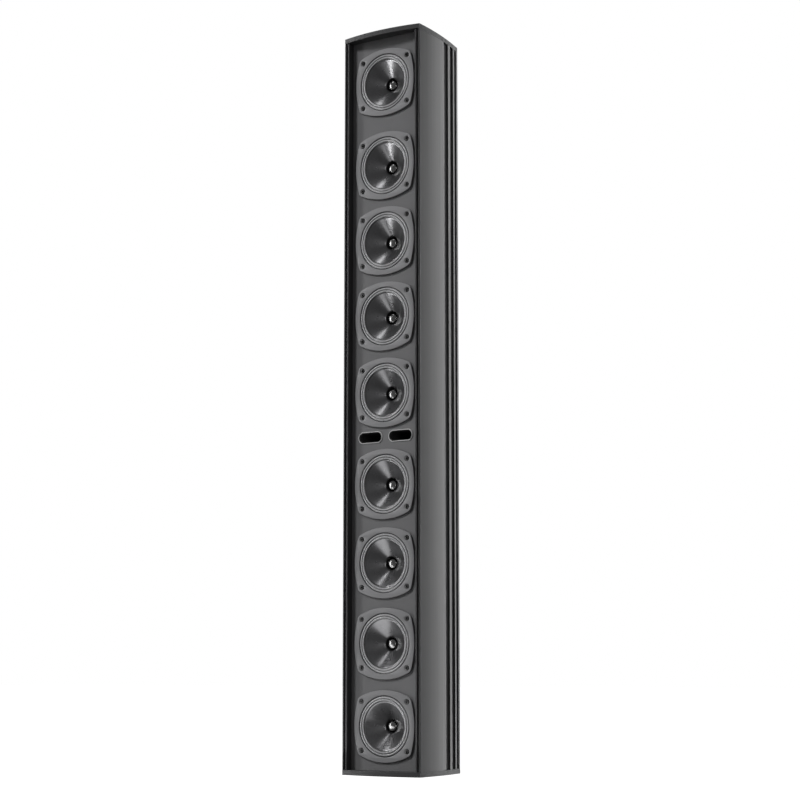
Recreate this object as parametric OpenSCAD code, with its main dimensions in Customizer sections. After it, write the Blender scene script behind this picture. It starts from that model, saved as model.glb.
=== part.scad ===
// Column line array loudspeaker: nine round drivers in one tall aluminium cabinet.
// +Z is up, the drivers face -Y, and the origin is the middle of the footprint.

/* [Cabinet] */
// Height of the column with both caps
cabinet_h = 1110; // [1109:0.5:1112]
// Width across the front corners
front_w = 138; // [136:0.5:142]
// Depth of each side panel, from front corner to rear corner
side_depth = 128.5; // [127:0.5:130]
// How far each side leans inwards from front to rear
side_taper = 16.3; // [15:0.1:17]
// Outward bow of each side panel
side_bow = 3.6; // [3:0.1:4]
// Forward bow of the front edge of the caps
front_bow = 7.8; // [7:0.1:9]
// Depth from the front corners to the flat back
rear_depth = 134.2; // [134:0.1:135]
// Radius of the rear corners
rear_corner_r = 6; // [5:0.5:7]
// Radius of the front corners
front_corner_r = 1.5; // [1:0.1:2]

/* [Panels] */
// Thickness of the top and bottom caps
cap_t = 7.2; // [6.5:0.1:8]
// Bevel round the outer edge of the caps
cap_bevel = 0.8; // [0.5:0.1:1]
// Wall thickness of the aluminium profiles
wall_t = 3.5; // [3:0.1:4]
// Width of the lip beside the drivers
lip_w = 8.8; // [8.5:0.1:9.5]
// Depth of the baffle face behind the front corners
baffle_depth = 11.5; // [11:0.5:12]
// Thickness of the baffle plate
baffle_t = 5; // [4:0.5:5.5]
// Depth of the long grooves in the side panels
groove_depth = 3.2; // [2.5:0.1:3.5]
// Half width of the screwed rear panel
rear_panel_half_w = 43.9; // [43.5:0.1:44]

/* [Drivers] */
// Height of the top driver's centre
top_driver_z = 1033; // [1030:0.5:1034]
// Half width of a driver frame
frame_half_w = 52.8; // [51.5:0.1:53]
// Half height of a driver frame
frame_half_h = 51.8; // [51:0.1:52]
// Thickness of the driver frame's flange
flange_t = 3.5; // [3:0.1:4]
// Radius of the cone at its rim
cone_rim_r = 36; // [35.8:0.1:36.2]
// Radius of the voice coil's former
former_r = 10.2; // [10:0.1:10.4]
// Radius of the fixed phase plug
plug_r = 7.3; // [6:0.1:7.5]
// Radius of the magnet
magnet_r = 35; // [32:0.5:38]
// Half of a screw pattern's width
screw_x = 40; // [39.5:0.1:40.5]
// Half of a screw pattern's height
screw_z = 35.3; // [35:0.1:35.6]

/* [Ports] */
// Distance of each port from the middle
port_x = 27; // [26:0.5:28]
// Width of the port's rim
port_rim_w = 43; // [42:0.5:44]
// Height of the port's rim
port_rim_h = 17.4; // [17:0.1:18]
// Length of the port's duct behind the baffle
duct_length = 64; // [50:1:70]

/* [Rear] */
// Height of the middle of the lower bracket holes
lower_bracket_z = 300; // [280:5:320]
// Height of the middle of the upper bracket holes
upper_bracket_z = 810; // [790:5:830]
// Width between the bracket holes
bracket_w = 60; // [50:1:64]
// Height between the bracket holes
bracket_h = 100; // [80:5:120]
// Height of the middle of the connector recess
input_z = 100; // [95:1:105]

/* [Hidden] */
$fn = 96;
BIG_FN = 720;
driver_count = 9;
NUMBERS = [for (i = [1 : driver_count]) i];

eps = 0.5;
gap = 0.1;
front_y = front_bow - (front_bow + rear_depth) / 2;

// Arcs of the cabinet's plan: a chord and its rise give the radius
function arc_radius(chord, rise) = chord * chord / (8 * rise) + rise / 2;
side_chord = norm([side_taper, side_depth]);
side_r = arc_radius(side_chord, side_bow);
side_tilt = atan(side_taper / side_depth);
side_reach = side_r - side_bow;
side_centre_x = front_w / 2 - side_taper / 2 - side_reach * cos(side_tilt);
side_centre_y = side_depth / 2 - side_reach * sin(side_tilt);
front_r = arc_radius(front_w, front_bow);
lip_x = front_w / 2 - lip_w;
slot_x = lip_x + 4;
lip_back = baffle_depth + baffle_t + 5.5;
rear_x = front_w / 2 - side_taper - rear_corner_r;
tongue_x = rear_panel_half_w - 6;
panel_h = cabinet_h - 2 * cap_t;

// Long grooves in the side panels: where each starts, and its width
groove_start = [76, 99, 117];
groove_w = [15, 12, 8];
thick_wall_start = 70;
boss_r = 4.5;
port_hole_r = 2.1;
cap_screw_spots = [[lip_x + lip_w / 2, 6.6], [61, 46], [46, 121]];

// Centre distances of the drivers, from the top one down
driver_steps = [129.5, 115.7, 114.8, 114.8, 136, 115.7, 117.2, 118.8];
function driver_z(i) = i == 1 ? top_driver_z : driver_z(i - 1) - driver_steps[i - 2];
port_z = (driver_z(5) + driver_z(6)) / 2 + 2.5;

// Depths inside a driver, measured forwards from the baffle's face
ledge_z = 1.6;
rim_t = 0.6;
seat_r = 44.3;
throat_r = 41;
bowl_r = 45;
bowl_floor_r = 33.5;
sheet_t = 1.5;
bowl_knee_z = -23;
plate_front_z = -31;
plate_t = 5;
magnet_t = 14;
yoke_t = 5;
pole_r = 9.3;
pole_top_z = plate_front_z + 0.5;
former_t = 0.3;
former_top_z = -16.5;
coil_h = 10;
coil_t = 0.4;
coil_low_z = plate_front_z - plate_t / 2 - coil_h / 2;
spider_z = bowl_knee_z + 0.6;
roll_r = 1.8;
roll_mids = [cone_rim_r + roll_r, cone_rim_r + 3 * roll_r];
baffle_hole_r = bowl_r + 0.6;

screw_r = 1.95;
screw_head_r = 3.4;
screw_head_h = 1.8;

input_half_w = 30;
input_half_h = 48;
plate_depth = rear_depth - wall_t;
connector_zs = [input_z + 22, input_z - 22];
connector_hole_r = 12.2;
socket_r = 10.5;
socket_depth = 14;
board_depth = 100;
rear_screw_x = rear_panel_half_w - 3.9;
rear_screw_zs = [24, 168, 360, 555, 750, 945, 1086];
insert_r = 4.5;
insert_bore_r = 2.5;
insert_length = 12;
foam_low_z = 200;
loom_x = -50;
loom_depth = 88;

module placed() translate([0, front_y, 0]) children();
module both_sides() {
    children();
    mirror([1, 0, 0]) children();
}
module corners(x, y) {
    for (i = [-1, 1], j = [-1, 1]) translate([i * x, j * y, 0]) children();
}
module at_driver(i) {
    translate([0, front_y + baffle_depth, driver_z(i)]) rotate([90, 0, 0]) children();
}
module at_each_driver() {
    for (i = NUMBERS) at_driver(i) children();
}
module ring(outer_r, inner_r, h) {
    difference() {
        cylinder(r = outer_r, h = h);
        translate([0, 0, -eps]) cylinder(r = inner_r, h = h + 2 * eps);
    }
}
module at_back(x, z) {
    translate([x, rear_depth, z]) rotate([90, 0, 0]) children();
}
// A cylinder whose top edge is bevelled
module bevelled_cylinder(r, h, bevel) {
    cylinder(r = r, h = h - bevel);
    translate([0, 0, h - bevel]) cylinder(r1 = r, r2 = r - bevel, h = bevel);
}

// ---- Plan of the cabinet ----
module side_disc(shrink) {
    translate([side_centre_x, side_centre_y]) circle(r = side_r - shrink, $fn = BIG_FN);
}
module rear_block_2d() {
    translate([-front_w, -front_bow]) square([2 * front_w, rear_depth - rear_corner_r + front_bow]);
    translate([-rear_x, 0]) square([2 * rear_x, rear_depth]);
    both_sides() translate([rear_x, rear_depth - rear_corner_r]) circle(r = rear_corner_r);
}
module corner_cut_2d(depth) {
    translate([front_w / 2 - front_corner_r, depth]) difference() {
        translate([0, -front_w - front_corner_r]) square([front_w, front_w + front_corner_r]);
        circle(r = front_corner_r);
    }
}
module band_2d(from, to) {
    translate([0, from]) square([front_w, to - from]);
}

// ---- Side panels ----
module wall_section_2d() {
    difference() {
        intersection() {
            side_disc(0);
            rear_block_2d();
            union() {
                translate([tongue_x, 0]) square([front_w, rear_depth - wall_t]);
                translate([rear_panel_half_w + gap, 0]) square([front_w, rear_depth]);
            }
        }
        translate([0, -eps]) square([lip_x, lip_back + eps]);
        intersection() {
            side_disc(wall_t);
            band_2d(lip_back, thick_wall_start);
        }
        intersection() {
            side_disc(wall_t + groove_depth);
            band_2d(thick_wall_start - eps, rear_depth - 2 * wall_t);
        }
        translate([0, baffle_depth]) square([slot_x, baffle_t + gap]);
        corner_cut_2d(front_corner_r);
    }
}
module grooves_2d() {
    difference() {
        for (i = [0 : len(groove_w) - 1]) band_2d(groove_start[i], groove_start[i] + groove_w[i]);
        side_disc(groove_depth);
    }
    translate([lip_x + lip_w / 2 - 1.5, -eps]) square([3, 2.5 + eps]);
}
module side_section_2d() {
    difference() {
        union() {
            wall_section_2d();
            for (i = [1, 2]) translate(cap_screw_spots[i]) circle(r = boss_r);
        }
        grooves_2d();
        for (spot = cap_screw_spots) translate(spot) circle(r = port_hole_r);
    }
}
module side_panel() {
    difference() {
        translate([0, 0, cap_t]) linear_extrude(panel_h) side_section_2d();
        for (z = rear_screw_zs) {
            at_back(rear_screw_x, z) cylinder(r = screw_r + 0.05, h = 3 * wall_t);
        }
    }
}
module right_side_panel() {
    color("#3a3b3d") placed() side_panel();
}
module left_side_panel() {
    color("#3a3b3d") mirror([1, 0, 0]) placed() side_panel();
}

// ---- Rear panel, with the connector recess and the bracket holes ----
module bracket_spots() {
    for (z = [lower_bracket_z, upper_bracket_z], i = [-1, 1], j = [-1, 1]) {
        at_back(i * bracket_w / 2, z + j * bracket_h / 2) children();
    }
}
module rear_screw_spots() {
    for (i = [-1, 1], z = rear_screw_zs) at_back(i * rear_screw_x, z) children();
}
module input_screw_spots() {
    for (i = [-1, 1], z = [-1, 0, 1]) {
        at_back(i * (input_half_w + 4), input_z + z * (input_half_h - 6)) children();
    }
}
module rear_panel() {
    color("#303133") placed() difference() {
        translate([-rear_panel_half_w, rear_depth - wall_t, cap_t]) {
            cube([2 * rear_panel_half_w, wall_t, panel_h]);
        }
        translate([-input_half_w, rear_depth - wall_t - eps, input_z - input_half_h]) {
            cube([2 * input_half_w, wall_t + 2 * eps, 2 * input_half_h]);
        }
        bracket_spots() translate([0, 0, -eps]) cylinder(r = insert_r + gap / 2, h = 2 * wall_t);
        rear_screw_spots() countersink();
        input_screw_spots() countersink();
    }
}
module countersink() {
    translate([0, 0, -eps]) cylinder(r = screw_head_r + gap, h = eps);
    cylinder(r1 = screw_head_r + gap, r2 = screw_r + 0.05, h = screw_head_h);
    cylinder(r = screw_r + 0.05, h = 3 * wall_t);
}
module countersunk_screw(length) {
    difference() {
        union() {
            cylinder(r1 = screw_head_r, r2 = screw_r, h = screw_head_h);
            cylinder(r = screw_r, h = length);
        }
        translate([0, 0, -eps]) cylinder(r = 1.3, h = eps + 1.4, $fn = 6);
    }
}
module rear_screws() {
    color("#1b1b1c") placed() {
        rear_screw_spots() countersunk_screw(3 * wall_t - eps);
        input_screw_spots() countersunk_screw(2 * wall_t);
    }
}
module bracket_inserts() {
    color("#8d8f92") placed() bracket_spots() ring(insert_r, insert_bore_r, insert_length);
}

// ---- Caps ----
module cap_body() {
    difference() {
        intersection() {
            both_discs();
            translate([0, front_r - front_bow, 0]) {
                bevelled_cylinder(front_r, cap_t, cap_bevel, $fn = BIG_FN);
            }
            rear_block();
        }
        both_sides() translate([0, 0, -eps]) linear_extrude(cap_t + 2 * eps) corner_cut_2d(1.2);
        both_sides() for (spot = cap_screw_spots) {
            translate([spot.x, spot.y, -eps]) cylinder(r = screw_r + 0.15, h = cap_t + 2 * eps);
            translate([spot.x, spot.y, cap_t - screw_head_h]) {
                cylinder(r1 = screw_r + 0.15, r2 = screw_head_r + 0.15, h = screw_head_h);
            }
        }
    }
}
module both_discs() {
    intersection() {
        translate([side_centre_x, side_centre_y, 0]) {
            bevelled_cylinder(side_r, cap_t, cap_bevel, $fn = BIG_FN);
        }
        translate([-side_centre_x, side_centre_y, 0]) {
            bevelled_cylinder(side_r, cap_t, cap_bevel, $fn = BIG_FN);
        }
    }
}
module rear_block() {
    flat_depth = rear_depth - rear_corner_r;
    translate([-front_w, -front_bow, 0]) cube([2 * front_w, flat_depth + front_bow, cap_t]);
    translate([-rear_x, 0, 0]) rotate([90, 0, 90]) linear_extrude(2 * rear_x) polygon([
        [0, 0],
        [rear_depth, 0],
        [rear_depth, cap_t - cap_bevel],
        [rear_depth - cap_bevel, cap_t],
        [0, cap_t]
    ]);
    for (i = [-1, 1]) translate([i * rear_x, flat_depth, 0]) {
        bevelled_cylinder(rear_corner_r, cap_t, cap_bevel);
    }
}
module top_cap() {
    color("#444547") placed() translate([0, 0, cabinet_h - cap_t]) cap_body();
}
module bottom_cap() {
    color("#444547") placed() translate([0, 0, cap_t]) mirror([0, 0, 1]) cap_body();
}
module cap_screw_set() {
    for (i = [-1, 1], spot = cap_screw_spots) {
        translate([i * spot.x, spot.y, 0]) mirror([0, 0, 1]) countersunk_screw(cap_t + 12);
    }
}
module cap_screws() {
    color("#1b1b1c") placed() {
        translate([0, 0, cabinet_h]) cap_screw_set();
        mirror([0, 0, 1]) cap_screw_set();
    }
}

// ---- Baffle ----
module baffle() {
    color("#4a4b4d") difference() {
        translate([gap - slot_x, front_y + baffle_depth, cap_t]) {
            cube([2 * (slot_x - gap), baffle_t, panel_h]);
        }
        at_each_driver() translate([0, 0, -baffle_t - eps]) {
            cylinder(r = baffle_hole_r, h = baffle_t + 2 * eps);
            corners(screw_x, screw_z) cylinder(r = screw_r + 0.05, h = baffle_t + 2 * eps);
        }
        for (i = [-1, 1]) at_port(i) translate([0, 0, -baffle_t - eps]) {
            linear_extrude(baffle_t + 2 * eps) obround_2d(port_rim_w - 2, port_rim_h - 2);
        }
    }
}

// ---- Ports: ducts with rounded ends ----
module at_port(i) {
    translate([i * port_x, front_y + baffle_depth, port_z]) rotate([90, 0, 0]) children();
}
module obround_2d(w, h) {
    square([w - h, h], center = true);
    for (i = [-1, 1]) translate([i * (w - h) / 2, 0]) circle(r = h / 2);
}
// A solid with an obround outline that narrows by the given step over its height
module obround_taper(w, h, step, height) {
    straight = w - h;
    rotate([90, 0, 90]) translate([0, 0, -straight / 2]) linear_extrude(straight) polygon([
        [-h / 2, 0],
        [h / 2, 0],
        [h / 2 - step, height],
        [step - h / 2, height]
    ]);
    for (i = [-1, 1]) translate([i * straight / 2, 0, 0]) {
        cylinder(r1 = h / 2, r2 = h / 2 - step, h = height);
    }
}
module port_duct() {
    rim_h = 1.4;
    difference() {
        union() {
            obround_taper(port_rim_w, port_rim_h, 0.7, rim_h);
            translate([0, 0, -duct_length]) {
                linear_extrude(duct_length) obround_2d(port_rim_w - 2.2, port_rim_h - 2.2);
            }
        }
        translate([0, 0, -duct_length - eps]) {
            linear_extrude(duct_length + 4) obround_2d(port_rim_w - 5, port_rim_h - 5);
        }
        translate([0, 0, rim_h + gap]) mirror([0, 0, 1]) {
            obround_taper(port_rim_w - 2.6, port_rim_h - 2.6, 1.2, 2);
        }
    }
}
module port_left() {
    color("#2a2a2b") at_port(-1) port_duct();
}
module port_right() {
    color("#2a2a2b") at_port(1) port_duct();
}

// ---- Driver frames ----
// Where two circles cross, on the side with both coordinates positive
function circles_meet(a, ra, b, rb) =
    let (
        span = b - a,
        d = norm(span),
        along = (d * d + ra * ra - rb * rb) / (2 * d),
        off = sqrt(ra * ra - along * along),
        u = span / d
    )
    a + along * u + off * [-u.y, u.x];

// A frame outline: four shallow arcs joined by round corners
frame_side_r = 122;
frame_top_r = 100;
frame_corner_r = 10;
side_c = [frame_half_w - frame_side_r, 0];
top_c = [0, frame_half_h - frame_top_r];
corner_c = circles_meet(side_c, frame_side_r - frame_corner_r, top_c, frame_top_r - frame_corner_r);
side_touch = side_c + (corner_c - side_c) * frame_side_r / (frame_side_r - frame_corner_r);
top_touch = top_c + (corner_c - top_c) * frame_top_r / (frame_top_r - frame_corner_r);

module frame_2d() {
    run = 2 * (top_touch - side_touch);
    low = side_touch - run;
    high = top_touch + run;
    intersection() {
        both_sides() translate(side_c) arc_side_2d();
        polygon([
            [low.x, -low.y], low, high, [-high.x, high.y],
            [-low.x, low.y], [-low.x, -low.y], [-high.x, -high.y], [high.x, -high.y]
        ]);
        for (j = [-1, 1]) translate([0, j * top_c.y]) arc_top_2d(j);
    }
    corners(corner_c.x, corner_c.y) circle(r = frame_corner_r);
}
module arc_side_2d() {
    intersection() {
        circle(r = frame_side_r, $fn = BIG_FN);
        translate([-side_c.x, -2 * frame_half_h]) square([frame_side_r, 4 * frame_half_h]);
    }
}
module arc_top_2d(j) {
    intersection() {
        circle(r = frame_top_r, $fn = BIG_FN);
        translate([-2 * frame_half_w, j > 0 ? -top_c.y : top_c.y - frame_top_r]) {
            square([4 * frame_half_w, frame_top_r]);
        }
    }
}
module bowl() {
    inner_r = bowl_r - sheet_t;
    wall_r = bowl_floor_r - sheet_t;
    ledge_r = bowl_floor_r - 6.5;
    rotate_extrude() polygon([
        [bowl_r, eps],
        [bowl_r, -4],
        [bowl_floor_r, bowl_knee_z],
        [bowl_floor_r, plate_front_z],
        [former_r + 3, plate_front_z],
        [former_r + 3, plate_front_z + sheet_t],
        [wall_r, plate_front_z + sheet_t],
        [wall_r, spider_z - 1.2],
        [ledge_r, spider_z - 1.2],
        [ledge_r, spider_z],
        [wall_r, spider_z],
        [inner_r, -3.5],
        [inner_r, eps]
    ]);
}
module basket_body() {
    window = [30, 17, 14];
    lead_in = 0.8;
    difference() {
        union() {
            linear_extrude(flange_t) frame_2d();
            bowl();
        }
        translate([0, 0, ledge_z]) cylinder(r = seat_r, h = flange_t);
        translate([0, 0, -eps]) cylinder(r = throat_r, h = flange_t);
        translate([0, 0, flange_t - lead_in]) {
            cylinder(r1 = seat_r, r2 = seat_r + 2 * lead_in, h = 2 * lead_in);
        }
        corners(screw_x, screw_z) {
            translate([0, 0, -eps]) cylinder(r = screw_r + 0.25, h = flange_t + 2 * eps);
            translate([0, 0, flange_t - screw_head_h]) cylinder(r = 4, h = flange_t);
        }
        for (i = [0 : 5]) rotate([0, 0, 60 * i]) {
            translate([bowl_floor_r - 9, -window.y / 2, bowl_knee_z + 2.5]) cube(window);
        }
    }
}
module basket(i) {
    color("#515254") at_driver(i) basket_body();
}

// ---- Moving cones and their suspension ----
module cone_body() {
    neck_r = former_r + 0.05;
    rotate_extrude() polygon([
        [cone_rim_r, ledge_z],
        [cone_rim_r, ledge_z - rim_t],
        [cone_rim_r - 1.2, ledge_z - rim_t],
        [neck_r, former_top_z - 1.3],
        [neck_r, former_top_z - 0.3],
        [cone_rim_r - 1.7, ledge_z]
    ]);
}
module cone(i) {
    color("#242527") at_driver(i) cone_body();
}
module surround_body() {
    translate([0, 0, ledge_z]) {
        ring(seat_r - gap, roll_mids[1] + roll_r - rim_t / 2, rim_t);
        ring(roll_mids[0] - roll_r + rim_t / 2, cone_rim_r - 1.6, rim_t);
        for (mid_r = roll_mids) rotate_extrude() translate([mid_r, 0]) difference() {
            circle(r = roll_r);
            circle(r = roll_r - rim_t);
            translate([-2 * roll_r, -2 * roll_r]) square([4 * roll_r, 2 * roll_r]);
        }
        ring(roll_mids[0] + roll_r + rim_t / 2, roll_mids[0] + roll_r - rim_t / 2, rim_t);
    }
}
module surround(i) {
    color("#3c3d3f") at_driver(i) surround_body();
}
module voice_coil(i) {
    color("#a0642c") at_driver(i) {
        translate([0, 0, coil_low_z]) {
            ring(former_r, former_r - former_t, former_top_z - coil_low_z);
            ring(former_r + coil_t, former_r - eps / 10, coil_h);
        }
    }
}
// A corrugated disc: the two faces follow the same wave
module spider_body() {
    start_r = former_r + gap;
    end_r = bowl_floor_r - 6.6;
    waves = 5;
    steps = 30;
    cloth_t = 0.5;
    function wave_r(k) = start_r + (end_r - start_r) * k / steps;
    function wave_z(k) = 0.8 * sin(360 * waves * k / steps);
    rotate_extrude() polygon(concat(
        [for (k = [0 : steps]) [wave_r(k), wave_z(k)]],
        [[bowl_floor_r - 1.8, 0], [bowl_floor_r - 1.8, cloth_t]],
        [for (k = [steps : -1 : 0]) [wave_r(k), wave_z(k) + cloth_t]]
    ));
}
module spiders() {
    color("#c08a3e") at_each_driver() translate([0, 0, spider_z]) spider_body();
}

// ---- Motors ----
module phase_plugs() {
    color("#77797c") at_each_driver() {
        shoulder_z = former_top_z + 1 - plug_r;
        translate([0, 0, pole_top_z]) cylinder(r = plug_r, h = shoulder_z - pole_top_z);
        translate([0, 0, shoulder_z]) rotate_extrude() intersection() {
            circle(r = plug_r);
            square(plug_r);
        }
    }
}
module top_plates() {
    color("#8b8d90") at_each_driver() translate([0, 0, plate_front_z - plate_t]) {
        ring(magnet_r - 1, former_r + coil_t + 0.5, plate_t);
    }
}
module magnets() {
    color("#2d2e30") at_each_driver() translate([0, 0, plate_front_z - plate_t - magnet_t]) {
        ring(magnet_r, 16, magnet_t);
    }
}
module pole_yokes() {
    back_z = plate_front_z - plate_t - magnet_t - yoke_t;
    color("#8b8d90") at_each_driver() translate([0, 0, back_z]) {
        bevelled_cylinder(magnet_r - 1, yoke_t, gap);
        cylinder(r = pole_r, h = pole_top_z - back_z);
    }
}
module driver_screws() {
    color("#151516") at_each_driver() corners(screw_x, screw_z) {
        translate([0, 0, flange_t - screw_head_h]) difference() {
            cylinder(r = screw_head_r, h = screw_head_h);
            translate([0, 0, 0.6]) cylinder(r = 1.7, h = screw_head_h, $fn = 6);
        }
        translate([0, 0, -baffle_t]) cylinder(r = screw_r, h = baffle_t + flange_t - screw_head_h);
    }
}

// ---- Connector recess at the bottom of the back ----
module input_plate() {
    plate_t = 2;
    border = 7.5;
    color("#1d1d1f") placed() difference() {
        translate([-input_half_w - border, plate_depth - plate_t, input_z - input_half_h - border]) {
            cube([2 * (input_half_w + border), plate_t, 2 * (input_half_h + border)]);
        }
        for (z = connector_zs) at_back(0, z) cylinder(r = connector_hole_r + gap, h = 3 * wall_t);
        input_screw_spots() cylinder(r = screw_r + 0.05, h = 3 * wall_t);
    }
}
module connector() {
    flange = [26, 31, 2];
    rim_z = rear_depth - plate_depth;
    difference() {
        union() {
            translate([-flange.x / 2, -flange.y / 2, rim_z - flange.z]) cube(flange);
            translate([0, 0, rim_z]) cylinder(r = connector_hole_r, h = socket_depth + 4);
        }
        translate([0, 0, -eps]) cylinder(r = socket_r, h = rim_z + socket_depth + eps);
    }
}
module speaker_connectors() {
    color("#121213") placed() for (z = connector_zs) at_back(0, z) connector();
}
module filter_board() {
    board_t = 1.6;
    board = [60, board_t, 100];
    color("#1f4d33") placed() {
        translate([-board.x / 2, board_depth, input_z - board.z / 2]) cube(board);
        for (i = [-1, 1], j = [-1, 1]) translate([i * 25, board_depth + board_t, input_z + j * 44]) {
            rotate([-90, 0, 0]) cylinder(r = 3, h = plate_depth - 2 - board_depth - board_t);
        }
    }
}
module filter_components() {
    color("#9a5a2a") placed() {
        for (j = [-1, 1]) translate([-10, board_depth, input_z + 26 * j]) rotate([90, 0, 0]) {
            ring(15, 6, 12);
        }
        for (j = [-1.5 : 1.5]) translate([18, board_depth - 6, input_z + 22 * j]) {
            rotate([0, 90, 0]) cylinder(r = 5.9, h = 20, center = true);
        }
        for (j = [-0.5, 0.5]) translate([-20, board_depth - 8, input_z + 8 * j - 3]) cube([22, 8, 6]);
    }
}

// ---- Lining and wiring ----
module damping_foam() {
    foam_t = 15;
    color("#5b5b5d") placed() {
        translate([-37, rear_depth - insert_length - foam_t - 1, foam_low_z]) {
            cube([74, foam_t, cabinet_h - cap_t - 4 - foam_low_z]);
        }
    }
}
module wiring_harness() {
    cable_r = 2;
    branch_r = 1.2;
    branch_reach = 49.5;
    color("#7a1f1f") placed() {
        translate([loom_x, loom_depth, driver_z(driver_count)]) {
            cylinder(r = cable_r, h = top_driver_z - driver_z(driver_count));
        }
        for (i = NUMBERS) translate([loom_x, loom_depth, driver_z(i)]) {
            sphere(r = cable_r);
            rotate([90, 0, 0]) cylinder(r = branch_r, h = branch_reach);
            translate([0, -branch_reach, 0]) sphere(r = branch_r);
            translate([0, -branch_reach, 0]) rotate([0, 90, 0]) {
                cylinder(r = branch_r, h = -loom_x - bowl_floor_r - gap);
            }
        }
        translate([loom_x, loom_depth, input_z]) rotate([0, 60, 0]) cylinder(r = cable_r, h = 24);
    }
}

left_side_panel();
right_side_panel();
rear_panel();
baffle();
top_cap();
bottom_cap();
for (i = NUMBERS) {
    basket(i);
    surround(i);
    cone(i);
    voice_coil(i);
}
phase_plugs();
pole_yokes();
magnets();
top_plates();
spiders();
driver_screws();
port_left();
port_right();
cap_screws();
rear_screws();
bracket_inserts();
input_plate();
speaker_connectors();
filter_board();
filter_components();
damping_foam();
wiring_harness();
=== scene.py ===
import math
import random

import bmesh
import bpy
from mathutils import Matrix, Vector
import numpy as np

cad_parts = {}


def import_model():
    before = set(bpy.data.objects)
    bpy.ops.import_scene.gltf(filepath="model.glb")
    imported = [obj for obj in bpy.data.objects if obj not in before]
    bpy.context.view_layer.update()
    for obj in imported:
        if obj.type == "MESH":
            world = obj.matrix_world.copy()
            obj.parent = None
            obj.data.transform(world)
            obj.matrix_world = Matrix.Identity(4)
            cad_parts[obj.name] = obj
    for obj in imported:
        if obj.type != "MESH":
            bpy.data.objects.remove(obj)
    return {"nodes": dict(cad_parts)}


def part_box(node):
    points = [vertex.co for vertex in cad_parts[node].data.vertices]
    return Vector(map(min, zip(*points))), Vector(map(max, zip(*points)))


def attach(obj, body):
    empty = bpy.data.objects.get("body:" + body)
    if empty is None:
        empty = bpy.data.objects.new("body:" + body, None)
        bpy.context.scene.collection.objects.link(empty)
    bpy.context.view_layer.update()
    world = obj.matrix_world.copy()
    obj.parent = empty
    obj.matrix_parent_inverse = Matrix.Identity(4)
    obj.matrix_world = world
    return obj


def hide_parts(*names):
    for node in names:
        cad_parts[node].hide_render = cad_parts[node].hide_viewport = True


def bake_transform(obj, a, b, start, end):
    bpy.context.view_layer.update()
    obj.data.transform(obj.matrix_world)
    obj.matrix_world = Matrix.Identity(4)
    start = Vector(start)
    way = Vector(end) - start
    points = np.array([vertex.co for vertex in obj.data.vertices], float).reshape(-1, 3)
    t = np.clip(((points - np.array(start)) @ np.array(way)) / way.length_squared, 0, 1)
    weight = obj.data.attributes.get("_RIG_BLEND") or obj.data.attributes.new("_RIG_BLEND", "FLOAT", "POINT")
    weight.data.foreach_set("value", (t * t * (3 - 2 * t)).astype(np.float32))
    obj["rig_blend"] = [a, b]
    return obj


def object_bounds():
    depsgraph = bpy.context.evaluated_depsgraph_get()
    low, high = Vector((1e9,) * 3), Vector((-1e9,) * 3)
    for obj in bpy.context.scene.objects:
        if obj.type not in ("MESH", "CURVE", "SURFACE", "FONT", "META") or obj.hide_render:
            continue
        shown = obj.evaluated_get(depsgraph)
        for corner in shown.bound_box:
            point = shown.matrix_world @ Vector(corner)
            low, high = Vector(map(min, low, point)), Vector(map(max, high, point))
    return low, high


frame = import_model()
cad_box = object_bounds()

MM = 0.001
TURN = 2 * math.pi
NUMBERS = range(1, 10)
CABINET = "cabinet"


# ---------------------------------------------------------------- places, from the CAD frame

def mid(node):
    low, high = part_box(node)
    return (low + high) / 2


HEIGHT = cad_box[1].z
CAP_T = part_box("bottom_cap")[1].z
FRONT_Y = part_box("right_side_panel")[0].y
BACK_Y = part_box("right_side_panel")[1].y
BAFFLE_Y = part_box("baffle")[0].y
DRIVER_Z = {i: mid(f"basket_{i}").z for i in NUMBERS}


def moving(i):
    return f"moving_cone_{i}"


# ---------------------------------------------------------------- camera, lights and floor

LENS = 87.2
AZIMUTH, PITCH = math.radians(34.29), math.radians(7.99)
CAMERA_RIGHT, CAMERA_AHEAD, CAMERA_UP = 1.6182, 2.3238, 0.1484


def camera():
    """A low camera to the right of the front, which looks slightly up."""
    data = bpy.data.cameras.new("camera")
    data.lens = LENS
    data.sensor_width = 36
    data.clip_end = 50
    cam = bpy.data.objects.new("camera", data)
    bpy.context.collection.objects.link(cam)
    level = math.cos(PITCH)
    look = Vector((-math.sin(AZIMUTH) * level, math.cos(AZIMUTH) * level, math.sin(PITCH)))
    cam.location = (CAMERA_RIGHT, FRONT_Y - CAMERA_AHEAD, CAMERA_UP)
    cam.rotation_mode = "QUATERNION"
    cam.rotation_quaternion = look.to_track_quat("-Z", "Y")
    bpy.context.scene.camera = cam


def softbox(name, at, towards, size, power):
    """A soft rectangular lamp that the camera doesn't see. Its power is in watts."""
    data = bpy.data.lights.new(name, "AREA")
    data.shape = "RECTANGLE"
    data.size, data.size_y = size
    data.energy = power
    lamp = bpy.data.objects.new(name, data)
    bpy.context.collection.objects.link(lamp)
    lamp.location = at
    lamp.rotation_mode = "QUATERNION"
    lamp.rotation_quaternion = (Vector(towards) - Vector(at)).to_track_quat("-Z", "Y")
    lamp.visible_camera = False
    return lamp


def strip(name, at, turn, size, power):
    """A lamp seen only in reflections, turned by angles in degrees."""
    lamp = softbox(name, at, at, size, power)
    lamp.rotation_mode = "XYZ"
    lamp.rotation_euler = [math.radians(a) for a in turn]
    lamp.visible_diffuse = False


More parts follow.
